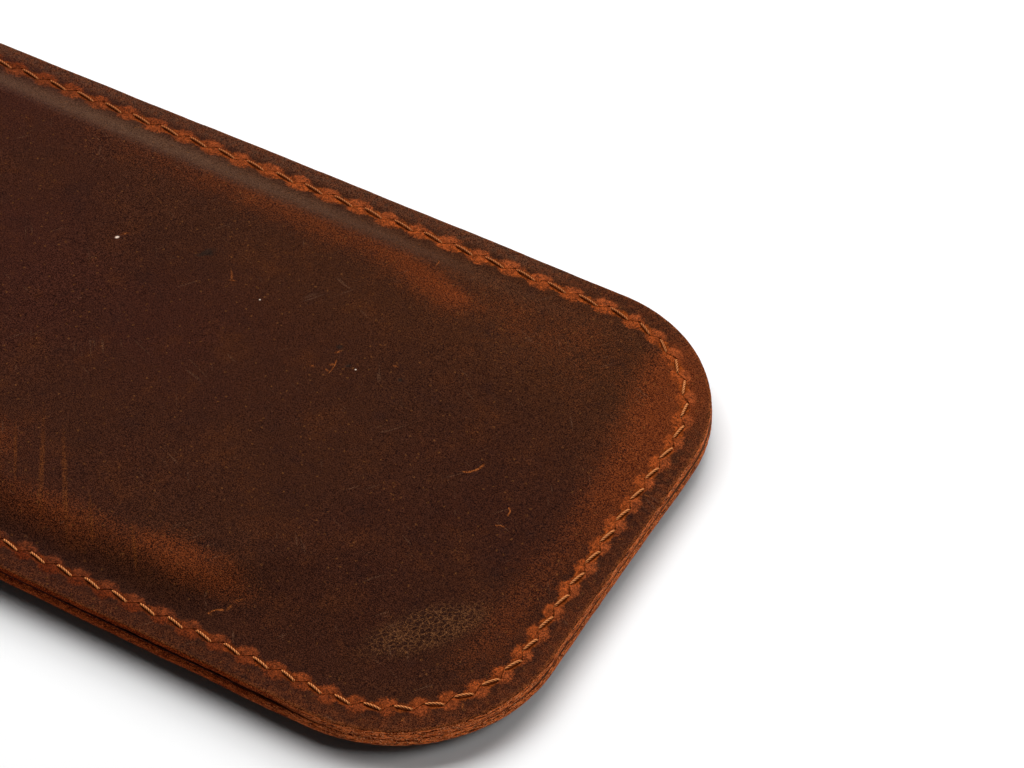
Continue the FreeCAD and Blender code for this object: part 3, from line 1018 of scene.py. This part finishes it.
upper = leather_panel(
    "upper_panel_leather", 1, SEAM_TOP, UPPER_BOW, top_runs, upper_wear, 100, [grain, flesh, edge])
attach(upper, "root")
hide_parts("upper_panel")

lower = leather_panel(
    "lower_panel_leather", -1, SEAM_BOTTOM, LOWER_BOW, under_runs, lower_wear, 200, [grain, flesh, edge])
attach(lower, "root")
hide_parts("lower_panel")

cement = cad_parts["glue_film"]
cement.data.materials.clear()
cement.data.materials.append(dried_cement())


def thread_route():
    """Corner points of the one thread and the kind of run that follows each: over, through or under."""
    over = SEAM_TOP - THREAD_DIVE
    under = SEAM_BOTTOM + THREAD_DIVE

    def needle(on_top):
        corners, kinds = [], []
        for k in range(len(hole_at) - 1):
            if on_top:
                corners += [(*front_pass[k], over), (*back_pass[k + 1], over)]
                kinds += ["over", "through"]
            else:
                corners += [(*back_pass[k], under), (*front_pass[k + 1], under)]
                kinds += ["under", "through"]
            on_top = not on_top
        if not on_top:
            corners.append((*back_pass[-1], under))
        return corners, kinds[:len(corners) - 1]

    first, first_kinds = needle(True)
    second, second_kinds = needle(False)
    corners = first[::-1] + second
    kinds = first_kinds[::-1] + ["through"] + second_kinds
    return np.array(corners), kinds


RUN_STEP = {"over": 0.085, "under": 0.17, "through": 0.5}
RUN_LIFT = {"over": 1, "under": -1, "through": 0}
ARCH_FLATNESS = 2.6
BEND_POINTS = 5
BEND_SHARE = 0.45
LEAST_STEP = 0.02


def thread_line():
    """Closely spaced points along the thread, bends rounded, runs on the surface slightly arched."""
    corners, kinds = thread_route()
    line = []
    for k, kind in enumerate(kinds):
        a, b = corners[k], corners[k + 1]
        span = b - a
        length = np.linalg.norm(span)
        span = span / length
        bend = min(THREAD_BEND, length * BEND_SHARE)
        inner = np.arange(bend, length - bend, RUN_STEP[kind])
        t = inner / length
        lift = RUN_LIFT[kind] * (THREAD_DIVE + THREAD_CREST) * (1 - np.abs(2 * t - 1) ** ARCH_FLATNESS)
        line += list(a + inner[:, None] * span + np.outer(lift, (0, 0, 1)))
        if k + 2 < len(corners):
            onward = corners[k + 2] - b
            onward = onward / np.linalg.norm(onward)
            enter, leave = b - span * bend, b + onward * bend
            for s in np.linspace(0, 1, BEND_POINTS):
                line.append((1 - s) ** 2 * enter + 2 * s * (1 - s) * b + s ** 2 * leave)
    line = np.array(line)
    steps = np.linalg.norm(np.diff(line, axis=0), axis=1)
    return line[np.r_[True, steps > LEAST_STEP]]


PLIES, POINTS_PER_PLY, TWIST_PITCH = 3, 4, 1.3


def twisted_thread(name, line, radius, material):
    """Three twisted plies swept along the line as one closed skin."""
    forward = np.gradient(line, axis=0)
    forward /= np.linalg.norm(forward, axis=1)[:, None]
    walked = np.r_[0, np.cumsum(np.linalg.norm(np.diff(line, axis=0), axis=1))]
    side = np.cross(forward[0], (0, 0, 1.0))
    if np.linalg.norm(side) < 0.1:
        side = np.cross(forward[0], (1.0, 0, 0))
    side /= np.linalg.norm(side)
    count = PLIES * POINTS_PER_PLY
    round_angles = np.arange(count) * 2 * np.pi / count
    crest = np.abs(np.cos(round_angles * PLIES / 2))
    reach = radius * (0.7 + 0.3 * crest ** 0.7)
    points, ply = [], []
    for at, ahead, distance in zip(line, forward, walked):
        side = side - ahead * (side @ ahead)
        side /= np.linalg.norm(side)
        up = np.cross(ahead, side)
        angles = round_angles + 2 * np.pi * distance / TWIST_PITCH
        outward = np.outer(np.cos(angles), side) + np.outer(np.sin(angles), up)
        points.append(at + reach[:, None] * outward)
        ply.append(crest)
    rings = len(line)
    points = np.concatenate(points)
    faces = []
    for ring in range(rings - 1):
        base = ring * count
        for k in range(count):
            after = (k + 1) % count
            faces.append((base + k, base + after, base + count + after, base + count + k))
    faces.append(tuple(range(count))[::-1])
    faces.append(tuple(range((rings - 1) * count, rings * count)))
    return add_mesh(name, points, faces, [material], attributes={"ply": np.concatenate(ply)})


thread = twisted_thread("saddle_stitch_thread", thread_line(), THREAD_RADIUS, thread_material)
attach(thread, "root")
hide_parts("stitch_thread")

# ---------------------------------------------------------------- table, light and camera

TABLE_METRES = 3.0
bpy.ops.mesh.primitive_plane_add(size=TABLE_METRES)
table = bpy.context.object
table.name = "table"
table.data.materials.append(pale_table())

LOOK_AT = Vector((HALF_LENGTH - 26.6, 18.2, SEAM_TOP)) * MM
AZIMUTH, ELEVATION = math.radians(29.66), math.radians(47.54)
CAMERA_DISTANCE = 0.3957
LENS = 105.9


def direction(azimuth, elevation):
    """Unit vector from the object out to a viewpoint."""
    return Vector((
        math.sin(azimuth) * math.cos(elevation),
        -math.cos(azimuth) * math.cos(elevation),
        math.sin(elevation)))


camera = bpy.data.objects.new("camera", bpy.data.cameras.new("camera"))
bpy.context.scene.collection.objects.link(camera)
bpy.context.scene.camera = camera
camera.data.lens = LENS
camera.data.clip_start = 0.01
towards_camera = direction(AZIMUTH, ELEVATION)
camera.location = LOOK_AT + towards_camera * CAMERA_DISTANCE
camera.rotation_mode = "QUATERNION"
camera.rotation_quaternion = (-towards_camera).to_track_quat("-Z", "Y")


def softbox(name, lean_x, lean_y, distance, width, height, watts):
    """A soft light leaning from straight overhead by the two angles, in degrees, towards +X and +Y."""
    light = bpy.data.lights.new(name, "AREA")
    light.shape = "RECTANGLE"
    light.size, light.size_y = width, height
    light.energy = watts
    box = bpy.data.objects.new(name, light)
    bpy.context.scene.collection.objects.link(box)
    away = Vector((math.tan(math.radians(lean_x)), math.tan(math.radians(lean_y)), 1)).normalized()
    box.location = LOOK_AT + away * distance
    box.rotation_mode = "QUATERNION"
    box.rotation_quaternion = away.to_track_quat("Z", "Y")


softbox("overhead_key", -21, 22, 1.0, 1.1, 0.6, 11.8)
softbox("back_light", -8, 50, 1.1, 0.8, 0.35, 4.0)
softbox("right_fill", 42, 20, 1.0, 0.5, 0.5, 2.7)

world = bpy.data.worlds.new("studio")
bpy.context.scene.world = world
world.use_nodes = True
sky = world.node_tree.nodes["Background"]
sky.inputs["Color"].default_value = (1, 1, 1, 1)
sky.inputs["Strength"].default_value = 0.025
bpy.context.scene.view_settings.view_transform = "Standard"
bpy.context.scene.view_settings.look = "None"
